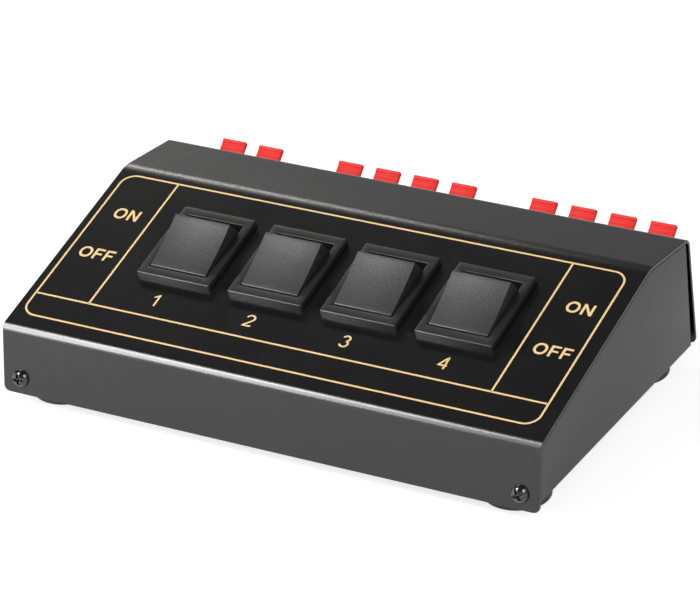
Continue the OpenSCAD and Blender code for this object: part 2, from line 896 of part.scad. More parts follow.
module terminal_block_screws() {
    color([0.12, 0.12, 0.12])
        on_rear()
            for (b = [0 : len(block_cols) - 1])
                for (x = ear_holes(b))
                    translate([x, face_t, face_mid])
                        rotate([0, 0, 180])
                            pan_screw(ear_head_r, 1.3, ear_screw_r, face_t + cover_t + 1.5);
}

module terminal_spring_clips() {
    color([0.8, 0.65, 0.35])
        on_rear()
            for (b = [0 : len(block_cols) - 1])
                for (i = [0 : block_cols[b] - 1])
                    for (r = [-1, 1])
                        translate([col_x(b, i), 0, 0])
                            row(r)
                                spring_clip();
}

// Bent spring clip: the leaf across the wire's way, the arm above it and the tail
module spring_clip() {
    arm_back = -block_depth + block_wall + tail_fit;
    tail_end = -block_depth - board_t - tail_out;
    translate([-clip_w / 2, clip_plane, clip_low])
        cube([clip_w, clip_t, clip_top - clip_low]);
    translate([-clip_w / 2, arm_back, clip_top - clip_t])
        cube([clip_w, clip_plane - arm_back + clip_t, clip_t]);
    translate([-tail_w / 2, tail_end, tail_v - tail_w / 2])
        cube([tail_w, arm_back - tail_end + clip_t, tail_w]);
}

// Lever in its own frame: Y along the arm, Z on its ribbed side, pivot at the origin
module lever_shape() {
    union() {
        rotate([0, 90, 0])
            cylinder(h = lever_w, r = hub_r, center = true);
        rotate([0, 90, 0])
            cylinder(h = lever_w + 2 * lever_pin_out, r = lever_pin_r, center = true);
        translate([-lever_w / 2, 0, -lever_under])
            cube([lever_w, lever_l, lever_t]);
        translate([-lever_w / 2, lever_l - tip_w, -lever_drop - lever_t / 2])
            cube([lever_w, tip_w, lever_t / 2 + tip_h]);
        for (k = [0 : 2])
            translate([-lever_w / 2, rib_first + k * rib_step, -lever_drop - lever_t / 2])
                cube([lever_w, rib_w, lever_t / 2 + rib_h]);
        translate([-lever_w / 2 + 1, -finger_l, -finger_t / 2])
            cube([lever_w - 2, finger_l, finger_t]);
    }
}

// Lever of column i of block b, in the row r
module lever(b, i, r, shade) {
    color(shade)
        on_rear()
            translate([col_x(b, i), 0, 0])
                row(r)
                    translate([0, lever_out, face_mid + lever_pivot_off])
                        rotate([lever_rest, 0, 0])
                            lever_shape();
}

module red_lever(b, i) {
    lever(b, i, 1, [0.86, 0.12, 0.1]);
}

module black_lever(b, i) {
    lever(b, i, -1, [0.09, 0.09, 0.09]);
}

module circuit_board() {
    color([0.12, 0.33, 0.2])
        on_rear()
            difference() {
                translate([-case_w / 2 + board_side, -block_depth - board_t, face_mid - board_h / 2])
                    cube([case_w - 2 * board_side, board_t, board_h]);
                for (b = [0 : len(block_cols) - 1])
                    for (i = [0 : block_cols[b] - 1])
                        for (r = [-1, 1])
                            translate([col_x(b, i), 0, 0])
                                row(r)
                                    translate([0, -block_depth + 1, tail_v])
                                        rotate([90, 0, 0])
                                            cylinder(h = board_t + 2, r = tail_w * 0.71 + tail_fit);
            }
}

// Hook-up wire in a plane across the box: it leaves a blade at the foot of the
// switch, turns once and runs square on to the board
lug_dir = [sin(panel_slope), -cos(panel_slope)];
run_dir = [cos(rear_lean), sin(rear_lean)];
wire_turn = 90 - panel_slope + rear_lean;
wire_sides = 8;
wire_steps = 4;
board_face = p_rear - (block_depth + board_t) * run_dir;

// Directions and points of a wire's route, as [y, z]
function wire_dir(a) = [sin(panel_slope + a), -cos(panel_slope + a)];
function wire_side(a) = [cos(panel_slope + a), sin(panel_slope + a)];
function wire_start(y) = p_low + (rocker_up + y) * d_panel - lug_end * lug_dir;
function wire_centre(y, drop) = wire_start(y) + drop * lug_dir + wire_bend_r * wire_side(0);
function wire_arc(y, drop, a) = wire_centre(y, drop) - wire_bend_r * wire_side(a);
function wire_run(y, drop) = (board_face - wire_arc(y, drop, wire_turn)) * run_dir;
function wire_turns() = concat([0], [for (k = [0 : wire_steps]) k * wire_turn / wire_steps], [wire_turn]);
function wire_points(y, drop) = concat(
    [wire_start(y)],
    [for (k = [0 : wire_steps]) wire_arc(y, drop, k * wire_turn / wire_steps)],
    [wire_arc(y, drop, wire_turn) + wire_run(y, drop) * run_dir]
);

module wire(x, y, drop) {
    path = wire_points(y, drop);
    turns = wire_turns();
    last = len(path) - 1;
    corners = [
        for (k = [0 : last])
            for (s = [0 : wire_sides - 1])
                let (a = 360 * s / wire_sides, side = wire_d / 2 * cos(a) * wire_side(turns[k]))
                    [x + wire_d / 2 * sin(a), path[k][0] + side[0], path[k][1] + side[1]]
    ];
    walls = [
        for (k = [0 : last - 1])
            for (s = [0 : wire_sides - 1])
                for (half = [0, 1])
                    let (a = k * wire_sides + s, b = k * wire_sides + (s + 1) % wire_sides)
                        half == 0 ? [a, b + wire_sides, b] : [a, a + wire_sides, b + wire_sides]
    ];
    caps = [
        for (s = [1 : wire_sides - 2])
            for (end = [0, last])
                end == 0 ? [0, s, s + 1]
                    : [end * wire_sides, end * wire_sides + s + 1, end * wire_sides + s]
    ];
    polyhedron(points = corners, faces = concat(walls, caps));
}

module zone_wires() {
    color([0.75, 0.12, 0.1])
        for (i = [0 : rocker_count - 1])
            for (x = [-pole_offset, pole_offset])
                wire(rocker_x0 + i * rocker_pitch + x, -lug_step, wire_drop_low);
}

module input_wires() {
    color([0.85, 0.85, 0.82])
        for (i = [0 : rocker_count - 1])
            for (x = [-pole_offset, pole_offset])
                wire(rocker_x0 + i * rocker_pitch + x, 0, wire_drop_up);
}

top_cover();
chassis();
front_cover_screws();
rear_cover_screws();
foot_front_left();
foot_front_right();
foot_rear_left();
foot_rear_right();
rocker_body_1();
rocker_body_2();
rocker_body_3();
rocker_body_4();
rocker_paddle_1();
rocker_paddle_2();
rocker_paddle_3();
rocker_paddle_4();
rocker_plungers_1();
rocker_plungers_2();
rocker_plungers_3();
rocker_plungers_4();
contact_bridges_1();
contact_bridges_2();
contact_bridges_3();
contact_bridges_4();
switch_blades();
input_terminal_block();
zone_12_terminal_block();
zone_34_terminal_block();
terminal_block_screws();
terminal_spring_clips();
red_lever(0, 0);  // red_lever_1
red_lever(0, 1);  // red_lever_2
red_lever(1, 0);  // red_lever_3
red_lever(1, 1);  // red_lever_4
red_lever(1, 2);  // red_lever_5
red_lever(1, 3);  // red_lever_6
red_lever(2, 0);  // red_lever_7
red_lever(2, 1);  // red_lever_8
red_lever(2, 2);  // red_lever_9
red_lever(2, 3);  // red_lever_10
black_lever(0, 0);  // black_lever_1
black_lever(0, 1);  // black_lever_2
black_lever(1, 0);  // black_lever_3
black_lever(1, 1);  // black_lever_4
black_lever(1, 2);  // black_lever_5
black_lever(1, 3);  // black_lever_6
black_lever(2, 0);  // black_lever_7
black_lever(2, 1);  // black_lever_8
black_lever(2, 2);  // black_lever_9
black_lever(2, 3);  // black_lever_10
circuit_board();
zone_wires();
input_wires();
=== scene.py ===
# Four-zone speaker selector box: a folded black steel cover over a folded chassis,
# four rocker switches on the sloped panel and spring-lever wire terminals behind.
# Everything is in metres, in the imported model's frame: X right, Y back, Z up.
import bmesh
import bpy
import numpy as np
from mathutils import Matrix, Vector


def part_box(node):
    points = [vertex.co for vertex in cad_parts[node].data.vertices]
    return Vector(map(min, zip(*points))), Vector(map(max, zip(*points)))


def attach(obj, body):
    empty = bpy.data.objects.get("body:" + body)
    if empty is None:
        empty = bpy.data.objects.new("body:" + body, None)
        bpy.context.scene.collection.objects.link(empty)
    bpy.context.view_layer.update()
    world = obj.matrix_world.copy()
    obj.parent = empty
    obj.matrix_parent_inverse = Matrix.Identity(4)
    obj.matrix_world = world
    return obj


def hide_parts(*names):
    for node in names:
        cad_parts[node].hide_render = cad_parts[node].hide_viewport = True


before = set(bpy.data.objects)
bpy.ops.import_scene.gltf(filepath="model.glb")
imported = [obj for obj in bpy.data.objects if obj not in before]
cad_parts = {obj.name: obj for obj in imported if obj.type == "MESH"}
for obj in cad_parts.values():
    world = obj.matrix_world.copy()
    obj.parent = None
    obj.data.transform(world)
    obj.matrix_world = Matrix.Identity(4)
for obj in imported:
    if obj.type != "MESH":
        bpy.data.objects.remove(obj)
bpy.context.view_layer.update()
MM = 0.001


# ---------------------------------------------------------------- camera
# A long lens above the front right corner, a little rolled, as a product is shot.
camera = bpy.data.objects.new("camera", bpy.data.cameras.new("camera"))
bpy.context.scene.collection.objects.link(camera)
camera.data.sensor_width = 36.0
camera.data.lens = 194.51
camera.data.clip_start = 0.05
camera.data.clip_end = 30.0
look = Matrix((
    (0.8774916667794428, -0.1856914646464668, 0.4421844125363144),
    (0.4777401747585899, 0.41938371891281584, -0.7719336899841127),
    (-0.042103445871656764, 0.8886146387879879, 0.4567179913003497),
)).to_4x4()
look.translation = (0.50903, -0.892745, 0.55079)
camera.matrix_world = look
bpy.context.scene.camera = camera


# ---------------------------------------------------------------- chassis
# A U of 1 mm sheet steel: the floor and both side walls are one folded blank, with
# lips at the front and rear that the cover screws bite into. Powder coated black
# before assembly, so its cut edges are as dark as its faces.
def finish(name, colour, rough, grain, relief, mottle=0.12, metallic=0.0, sheen=0.0,
           coat=0.0, specular=0.5):
    """A surface with a fine grain, made of three noises on Object coordinates.

    grain is the size of the grain in metres and relief its height. The colour swings
    by the share mottle over patches of 15 mm, and the roughness by a twenty-fifth.
    """
    material = bpy.data.materials.new(name)
    material.use_nodes = True
    tree = material.node_tree
    shader = tree.nodes["Principled BSDF"]
    shader.inputs["Metallic"].default_value = metallic
    shader.inputs["Specular IOR Level"].default_value = specular
    shader.inputs["Coat Weight"].default_value = coat
    shader.inputs["Coat Roughness"].default_value = 0.12
    shader.inputs["Sheen Weight"].default_value = sheen
    where = tree.nodes.new("ShaderNodeTexCoord").outputs["Object"]

    def noise(size, detail):
        node = tree.nodes.new("ShaderNodeTexNoise")
        node.inputs["Scale"].default_value = 1.0 / size
        node.inputs["Detail"].default_value = detail
        tree.links.new(where, node.inputs["Vector"])
        return node.outputs["Fac"]

    patches = noise(0.015, 3.0)
    speckle = noise(grain, 4.0)
    both = tree.nodes.new("ShaderNodeMath")
    both.operation = "MULTIPLY_ADD"
    both.inputs[1].default_value = 0.5
    tree.links.new(patches, both.inputs[0])
    half = tree.nodes.new("ShaderNodeMath")
    half.operation = "MULTIPLY"
    half.inputs[1].default_value = 0.5
    tree.links.new(speckle, half.inputs[0])
    tree.links.new(half.outputs[0], both.inputs[2])
    ramp = tree.nodes.new("ShaderNodeValToRGB")
    ramp.color_ramp.elements[0].position = 0.3
    ramp.color_ramp.elements[1].position = 0.7
    ramp.color_ramp.elements[0].color = [c * (1 - mottle) for c in colour] + [1]
    ramp.color_ramp.elements[1].color = [min(c * (1 + mottle), 1) for c in colour] + [1]
    tree.links.new(both.outputs[0], ramp.inputs["Fac"])
    tree.links.new(ramp.outputs["Color"], shader.inputs["Base Color"])
    span = tree.nodes.new("ShaderNodeMapRange")
    span.inputs["From Min"].default_value = 0.3
    span.inputs["From Max"].default_value = 0.7
    span.inputs["To Min"].default_value = rough * 0.96
    span.inputs["To Max"].default_value = min(rough * 1.04, 1.0)
    tree.links.new(patches, span.inputs["Value"])
    tree.links.new(span.outputs["Result"], shader.inputs["Roughness"])
    bump = tree.nodes.new("ShaderNodeBump")
    bump.inputs["Strength"].default_value = 1.0
    bump.inputs["Distance"].default_value = relief
    tree.links.new(speckle, bump.inputs["Height"])
    tree.links.new(bump.outputs["Normal"], shader.inputs["Normal"])
    return material


def round_edges(piece, width, segments, angle):
    """Rounds every edge sharper than angle to the radius width, and shades it smooth."""
    bevel = piece.modifiers.new("rounded edges", "BEVEL")
    bevel.width = width
    bevel.segments = segments
    bevel.limit_method = "ANGLE"
    bevel.angle_limit = np.radians(angle)
    bevel.harden_normals = True
    bevel.use_clamp_overlap = True
    piece.data.shade_smooth()
    return piece


def welded_copy(name, node):
    """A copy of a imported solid, its loose triangles welded and its flat facets joined."""
    mesh = bpy.data.meshes.new(name)
    work = bmesh.new()
    work.from_mesh(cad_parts[node].data)
    bmesh.ops.remove_doubles(work, verts=work.verts, dist=2e-6)
    bmesh.ops.dissolve_limit(work, angle_limit=np.radians(0.5), verts=work.verts,
                             edges=work.edges)
    work.to_mesh(mesh)
    work.free()
    piece = bpy.data.objects.new(name, mesh)
    bpy.context.scene.collection.objects.link(piece)
    return piece


def dress(piece, material, body, slot, *nodes):
    """Gives a piece its material, the body it moves with and the solids it stands for."""
    piece.data.materials.clear()
    piece.data.materials.append(material)
    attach(piece, body)
    if nodes:
        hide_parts(*nodes)


def recolour(material, *nodes):
    """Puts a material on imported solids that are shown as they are."""
    for node in nodes:
        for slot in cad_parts[node].material_slots:
            slot.material = material


# Painted light: this is the same black powder coat as the cover, set about five times lighter
# here so the side wall reads brighter, as if lit. The black itself is real.
chassis_paint = finish("chassis powder coat with painted light", (0.018, 0.018, 0.0185), 0.42, 0.00045, 0.00001,
                       specular=1.0)
chassis = round_edges(welded_copy("folded_chassis", "chassis"), 0.00012, 2, 40)
dress(chassis, chassis_paint, "case", "chassis_paint", "chassis")


# ---------------------------------------------------------------- rubber feet
# Four moulded rubber feet stand under the floor. Each is a turned form with a round
# lower edge and a shallow dish in its underside, matt and slightly dusty.
def skin(rows, ring):
    """Quads that join each ring of points to the next, closed round the ring."""
    i, j = np.meshgrid(np.arange(rows - 1), np.arange(ring), indexing="ij")
    n = (j + 1) % ring
    quads = np.stack([i * ring + j, (i + 1) * ring + j, (i + 1) * ring + n, i * ring + n], -1)
    return quads.reshape(-1, 4)


def turned(name, profile, centre, steps=64):
    """A surface of revolution about a vertical axis.

    profile is (radius, height) from the top pole to the bottom pole, in metres. The
    point for angle a is (r cos a, r sin a, h), moved to centre.
    """
    profile = np.array(profile)
    angles = np.linspace(0, 2 * np.pi, steps, endpoint=False)
    radius, height = profile[1:-1, 0][:, None], profile[1:-1, 1][:, None]
    rings = np.stack([radius * np.cos(angles), radius * np.sin(angles),
                      height + 0 * angles], axis=-1).reshape(-1, 3)
    poles = np.array([[0, 0, profile[0, 1]], [0, 0, profile[-1, 1]]])
    points = np.vstack([rings, poles]) + np.asarray(centre)
    k = len(profile) - 2
    ring = np.arange(steps)
    top = np.stack([np.full(steps, k * steps), ring, (ring + 1) % steps], axis=-1)
    low = (k - 1) * steps
    bottom = np.stack([np.full(steps, k * steps + 1), low + (ring + 1) % steps, low + ring],
                      axis=-1)
    return solid(name, points, skin(k, steps).tolist() + top.tolist() + bottom.tolist())


def solid(name, points, faces, smooth=True):
    """A mesh object from arrays of points and faces, at the origin."""
    mesh = bpy.data.meshes.new(name)
    mesh.from_pydata(np.asarray(points).tolist(), [], faces)
    mesh.update()
    if smooth:
        mesh.shade_smooth()
    piece = bpy.data.objects.new(name, mesh)
    bpy.context.scene.collection.objects.link(piece)
    return piece


foot_rubber = finish("foot rubber", (0.022, 0.022, 0.022), 0.62, 0.0004, 0.00002, 0.2,
                     sheen=0.15)
foot_radius, foot_height, foot_edge = 10.25, 6.0, 0.8
sweep = np.linspace(0, np.pi / 2, 9)
foot_profile = [(0, foot_height), (foot_radius - 0.3, foot_height),
                (foot_radius - 0.08, foot_height - 0.08), (foot_radius, foot_height - 0.3)]
foot_profile += [(foot_radius - foot_edge + foot_edge * c, foot_edge - foot_edge * s)
                 for c, s in zip(np.cos(sweep), np.sin(sweep))]
foot_profile += [(5.2, 0), (4.9, 0.06), (4.7, 0.3), (4.4, 0.8), (4.1, 0.95), (0, 1.0)]
for foot_name in ("foot_front_left", "foot_front_right", "foot_rear_left", "foot_rear_right"):
    low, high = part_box(foot_name)
    middle = ((low + high) / 2)[:2]
    foot = turned("rubber_" + foot_name, np.array(foot_profile) * MM, (*middle, low[2]))
    dress(foot, foot_rubber, "case", "foot_rubber", foot_name)


# ---------------------------------------------------------------- rocker switches
# Each switch is a black nylon housing that snaps into the panel from above. Its
# square bezel stands 1.8 mm proud, with a thin crisp rim, and the open well
# inside it goes down to the blades.
SLOPE, FRONT_LEAN, REAR_LEAN = np.radians([16.1, 6.0, 8.2])
LOW_BEND = np.array([0, -58.103630, 25.330851]) * MM


def on_panel(points, origin=(0.0, 0.0, 0.0)):
    """Moves points from the panel's frame: x across, y up the slope, z out of the panel."""
    x, y, z = np.moveaxis(np.asarray(points) + np.asarray(origin), -1, 0)
    return np.stack([x, LOW_BEND[1] + y * np.cos(SLOPE) - z * np.sin(SLOPE),
                     LOW_BEND[2] + y * np.sin(SLOPE) + z * np.cos(SLOPE)], axis=-1)


def loft(name, stations, move, corner_steps=4):
    """A closed skin over rounded rectangles stacked one on the next.

    A station is (half width, half length, height, corner radius), in metres. A corner
    is the quarter circle centre + r (cos a, sin a), and both ends are closed flat.
    """
    stations = np.array(stations, float)
    steps = np.linspace(0, np.pi / 2, corner_steps)
    angles = (np.arange(4)[:, None] * np.pi / 2 + steps).ravel()
    sx = np.repeat([1, -1, -1, 1], corner_steps)
    sy = np.repeat([1, 1, -1, -1], corner_steps)
    hw, hl, z, r = (stations[:, k][:, None] for k in range(4))
    points = np.stack([sx * (hw - r) + r * np.cos(angles), sy * (hl - r) + r * np.sin(angles),
                       z + 0 * angles], axis=-1)
    m = len(angles)
    k = len(stations)
    quads = skin(k, m)[:, [0, 3, 2, 1]]
    caps = [list(range(m))[::-1], list(range((k - 1) * m, k * m))]
    return solid(name, move(points.reshape(-1, 3)), quads.tolist() + caps)


def arc(cx, cy, r, start, end, steps=5):
    """Points of a circular arc from start to end, in degrees."""
    a = np.radians(np.linspace(start, end, steps))
    return np.stack([cx + r * np.cos(a), cy + r * np.sin(a)], axis=-1)


ROCKER_X = (np.arange(4) - 1.5) * 31.9
ROCKER_UP = 47.2
BODY_HALF = (10.9, 13.8)
bezel_half, well_half, bezel_up = (12.7, 15.7), (10.0, 12.4), 1.8
bezel_plastic = finish("bezel nylon", (0.011, 0.011, 0.0115), 0.38, 0.0003, 0.00001,
                       specular=0.8)
rim = arc(-0.26, -0.26, 0.26, 0, 90)         # outer rim, from the side to the top
lip = arc(0.14, -0.14, 0.14, 90, 180, 4)     # inner rim, down into the well
housing = [(*BODY_HALF, -17.0, 0.6), (*BODY_HALF, 0.0, 0.6),
           (*bezel_half, 0.0, 0.35), (*bezel_half, 1.0, 0.35)]
housing += [(bezel_half[0] + a, bezel_half[1] + a, bezel_up + b, 0.35) for a, b in rim]
housing += [(well_half[0] + a, well_half[1] + a, bezel_up + b, 0.3) for a, b in lip]
housing += [(*well_half, 1.0, 0.3), (*well_half, -15.4, 0.3)]
for k, x in enumerate(ROCKER_X):
    shell = loft(f"rocker_housing_{k + 1}", np.array(housing) * MM,
                 lambda p, x=x: on_panel(p, (x * MM, ROCKER_UP * MM, 0)))
    shell.data.set_sharp_from_angle(angle=np.radians(50))
    dress(shell, bezel_plastic, "case", "bezel_plastic", f"rocker_body_{k + 1}")


# ---------------------------------------------------------------- rocker paddles
# The paddles are moulded in black nylon, with a spark-eroded grain and a hollow top.
# Each swings 16 degrees either way on two stub pins in the walls of its housing.
def bar(name, outline, half_width, rounding, move, steps=4):
    """A bar of constant outline with softly rolled ends.

    outline is the closed section (y, z), anticlockwise. Near each end the section is
    drawn in along its normals by r (1 - sin a) while x runs out by r (1 - cos a), which
    rolls the rim as a quarter circle.
    """
    outline = np.asarray(outline, float)
    ahead = np.roll(outline, -1, 0) - outline
    behind = outline - np.roll(outline, 1, 0)
    n1 = np.stack([ahead[:, 1], -ahead[:, 0]], -1) / np.linalg.norm(ahead, axis=1)[:, None]
    n0 = np.stack([behind[:, 1], -behind[:, 0]], -1) / np.linalg.norm(behind, axis=1)[:, None]
    normal = (n0 + n1) / (1 + (n0 * n1).sum(1))[:, None]
    a = np.linspace(0, np.pi / 2, steps)
    inset = rounding * (1 - np.sin(a))
    out = half_width - rounding + rounding * np.cos(a)
    inset = np.concatenate([inset, inset[::-1]])
    xs = np.concatenate([out, -out[::-1]])
    section = outline[None] - inset[:, None, None] * normal[None]
    k, m = section.shape[:2]
    x = np.broadcast_to(xs[:, None, None], (k, m, 1))
    points = np.concatenate([x, section], -1)
    caps = [list(range(m)), list(range((k - 1) * m, k * m))[::-1]]
    return solid(name, move(points.reshape(-1, 3)), skin(k, m).tolist() + caps)


def round_corners(outline, radius, steps=4):
    """Rounds a closed outline's corners: each becomes an arc tangent to its two sides."""
    outline = np.asarray(outline, float)
    radius = np.broadcast_to(radius, len(outline))
    points = []
    for p, a, b, r in zip(outline, np.roll(outline, 1, 0), np.roll(outline, -1, 0), radius):
        u, v = (a - p) / np.linalg.norm(a - p), (b - p) / np.linalg.norm(b - p)
        turn = np.arccos(np.clip(u @ v, -1, 1))
        if r <= 0 or abs(turn - np.pi) < 1e-3:
            points.append(p[None])
            continue
        back = min(r / np.tan(turn / 2), 0.48 * np.linalg.norm(a - p),
                   0.48 * np.linalg.norm(b - p))
        centre = p + (u + v) / np.linalg.norm(u + v) * back / np.cos(turn / 2)
        t = np.linspace(0, 1, steps)[:, None]
        start, end = p + u * back - centre, p + v * back - centre
        sweep = np.arccos(np.clip(start @ end / (start @ start), -1, 1))
        spread = np.sin((1 - t) * sweep) * start + np.sin(t * sweep) * end
        points.append(centre + spread / np.sin(sweep))
    return np.vstack(points)


paddle_plastic = finish("paddle nylon", (0.015, 0.015, 0.0155), 0.42, 0.00055, 0.00006, 0.3,
                        specular=1.0)
PADDLE_TILT, PIVOT_DEPTH = 16.0, 5.3
reach = 12.0012 - 0.8
top_half, paddle_top = 9.52, 10.34
paddle_side = [(-top_half, paddle_top), (-reach, 3), (-reach, 0), (-4, -4),
               (4, -4), (reach, 0), (reach, 3), (top_half, paddle_top)]
paddle_side = round_corners(paddle_side, [0.18, 0.5, 0.5, 0.5, 0.5, 0.5, 0.5, 0.18], 5)
hollow_half, hollow_depth = 9.12, 0.4        # finger hollow along the top
hollow = [(y, paddle_top - hollow_depth * (1 - (y / hollow_half)**2))
          for y in np.linspace(hollow_half, -hollow_half, 17)]
paddle_side = np.vstack([paddle_side, hollow])


def at_pivot(x):
    """Tilts a paddle about its pin, below the panel, and carries it to its switch."""
    c, s = np.cos(np.radians(PADDLE_TILT)), np.sin(np.radians(PADDLE_TILT))

    def move(p):
        px, py, pz = np.moveaxis(p, -1, 0)
        turned_points = np.stack([px, py * c - pz * s, py * s + pz * c], -1)
        return on_panel(turned_points, (x * MM, ROCKER_UP * MM, -PIVOT_DEPTH * MM))

    return move


for k, x in enumerate(ROCKER_X):
    paddle = bar(f"paddle_{k + 1}", paddle_side * MM, 9.7 * MM, 0.16 * MM, at_pivot(x))
    paddle.data.set_sharp_from_angle(angle=np.radians(35))
    dress(paddle, paddle_plastic, f"rocker_{k + 1}", "paddle_plastic", f"rocker_paddle_{k + 1}")


# ---------------------------------------------------------------- switch insides
# Under each paddle two spring plungers press on brass bridges, which seesaw on the
# middle blades. Blades, bridges and clips are stamped from rolled brass strip.
plunger_plastic = finish("plunger acetal", (0.72, 0.70, 0.62), 0.4, 0.0006, 0.00001, 0.05)
contact_brass = finish("rolled contact brass", (0.74, 0.53, 0.24), 0.28, 0.0005, 0.000006, 0.1,
                       metallic=1.0)
for k in range(1, 5):
    recolour(plunger_plastic, f"rocker_plungers_{k}")
    recolour(contact_brass, f"contact_bridges_{k}")
recolour(contact_brass, "switch_blades", "terminal_spring_clips")


# ---------------------------------------------------------------- terminal blocks
# Three blocks of spring terminals push through the rear flange from outside, black
# glossy ABS with a lever slot and a wire entry for each pole. A small screw in each
# ear holds the block.
block_plastic = finish("terminal block ABS", (0.022, 0.022, 0.023), 0.3, 0.0005, 0.000008)
for place in ("input", "zone_12", "zone_34"):
    block = round_edges(welded_copy(place + "_block", place + "_terminal_block"), 0.00018, 2, 30)
    dress(block, block_plastic, "case", "block_plastic", place + "_terminal_block")


# ---------------------------------------------------------------- terminal levers
# Ten red levers above in satin ABS and ten glossy black ones below. Each is a thin
# plate under a round hub, with three faint grip ribs, and a finger inside opens the
# clip. They pivot on two stub pins moulded with the hub.
HALF_WIDTH = 91.0                            # half the width of the box
BLOCK_UP = 19.3                              # middle of the blocks, up the rear flange
COLUMN_PITCH = 13.5
BLOCKS = ((15.8, 2), (58.7, 4), (127.3, 4))  # first column from the left, and how many
LEVER_LEAN, HUB_OUT, HUB_OFF = 34.0, 0.7, 7.7
REAR_EDGE = np.array([0, 50.142166, 6.0]) * MM


def on_rear(points, origin=(0.0, 0.0, 0.0)):
    """Moves points from the rear flange's frame: x across, y out, z up the flange."""
    x, y, z = np.moveaxis(np.asarray(points) + np.asarray(origin), -1, 0)
    return np.stack([x, REAR_EDGE[1] + y * np.cos(REAR_LEAN) - z * np.sin(REAR_LEAN),
                     REAR_EDGE[2] + y * np.sin(REAR_LEAN) + z * np.cos(REAR_LEAN)], axis=-1)


def lever_move(x, row):
    """Leans a lever off the block, in the upper row (1) or the lower row (-1)."""
    c, s = np.cos(np.radians(LEVER_LEAN)), np.sin(np.radians(LEVER_LEAN))

    def move(p):
        px, py, pz = np.moveaxis(p, -1, 0)
        y, z = py * c - pz * s, py * s + pz * c
        up = BLOCK_UP * MM + row * (HUB_OFF * MM + z)
        return on_rear(np.stack([px, y + HUB_OUT * MM, up], -1), (x * MM, 0, 0))

    return move


red_plastic = finish("red lever ABS", (0.63, 0.024, 0.020), 0.5, 0.0006, 0.000006, 0.04,
                     specular=0.2)
black_plastic = finish("black lever ABS", (0.016, 0.016, 0.017), 0.28, 0.0006, 0.000006)
hub = arc(0, 0, 2.2, -34.6, 269, 24)
plate_top, plate_under = -1.25, -2.65
ribs = [(2.2, plate_top)]
for rib in (8.2, 9.6, 11.0):
    ribs += [(rib, plate_top), (rib + 0.15, plate_top + 0.1),
             (rib + 0.45, plate_top + 0.1), (rib + 0.6, plate_top)]
ribs += [(11.8, plate_top), (11.92, plate_top + 0.25),
         (12.88, plate_top + 0.25), (13.0, plate_top + 0.13)]
underside = [(0.05, plate_under), (12.8, plate_under), (13.0, plate_under + 0.2)]
arm = np.vstack([hub, underside, ribs[::-1]])
finger = round_corners([(-8.5, -0.9), (0, -0.9), (0, 0.9), (-8.5, 0.9)], [0.4, 0, 0, 0.4], 4)
pin = arc(0, 0, 1.0, 0, 337.5, 16)
columns = [first + COLUMN_PITCH * i for first, count in BLOCKS for i in range(count)]
for k, column in enumerate(columns):
    for shade, row in (("red", 1), ("black", -1)):
        move = lever_move(column - HALF_WIDTH, row)
        lever = bar(f"{shade}_tab_{k + 1}", arm * MM, 4.225 * MM, 0.08 * MM, move, 3)
        parts = [bar("finger", finger * MM, 3.225 * MM, 0.2 * MM, move, 3),
                 bar("pin", pin * MM, 5.295 * MM, 0.1 * MM, move, 2)]
        work = bmesh.new()
        for part in [lever] + parts:
            work.from_mesh(part.data)
        if row < 0:
            bmesh.ops.reverse_faces(work, faces=work.faces)
        work.to_mesh(lever.data)
        work.free()
        for part in parts:
            bpy.data.objects.remove(part)
        lever.data.shade_smooth()
        lever.data.set_sharp_from_angle(angle=np.radians(30))
        dress(lever, red_plastic if row > 0 else black_plastic, f"{shade}_lever_{k + 1}",
              f"{shade}_plastic", f"{shade}_lever_{k + 1}")


# ---------------------------------------------------------------- board and wires
# The clips' tails go through a green laminate board that joins the zones, and PVC
# covered wires run from the blades to it: red for the zones, white for the input.
board_laminate = finish("board laminate", (0.03, 0.16, 0.075), 0.35, 0.0008, 0.000006, 0.2,
                        coat=0.4)
red_insulation = finish("red insulation", (0.55, 0.03, 0.025), 0.45, 0.0008, 0.00001, 0.06)
white_insulation = finish("white insulation", (0.72, 0.72, 0.68), 0.45, 0.0008, 0.00001, 0.05)
recolour(board_laminate, "circuit_board")
recolour(red_insulation, "zone_wires")
recolour(white_insulation, "input_wires")


# ---------------------------------------------------------------- cover
# One blank of 1 mm steel folded three times: front flange, sloped panel, top strip
# and rear flange. It is powder coated in a fine satin black that catches the light
# along the bends. Four holes take the switches and three slots the terminal blocks.
FLATS = {"front": 21.75, "panel": 77.3, "top": 28.6, "rear": 38.544396}
HEADINGS = {"front": 84.0, "panel": 16.1, "top": -5.25, "rear": -81.8}
BENDS = {"front": (0.0, 3.0), "panel": (3.0, 14.0), "top": (14.0, 3.5), "rear": (3.5, 0.0)}


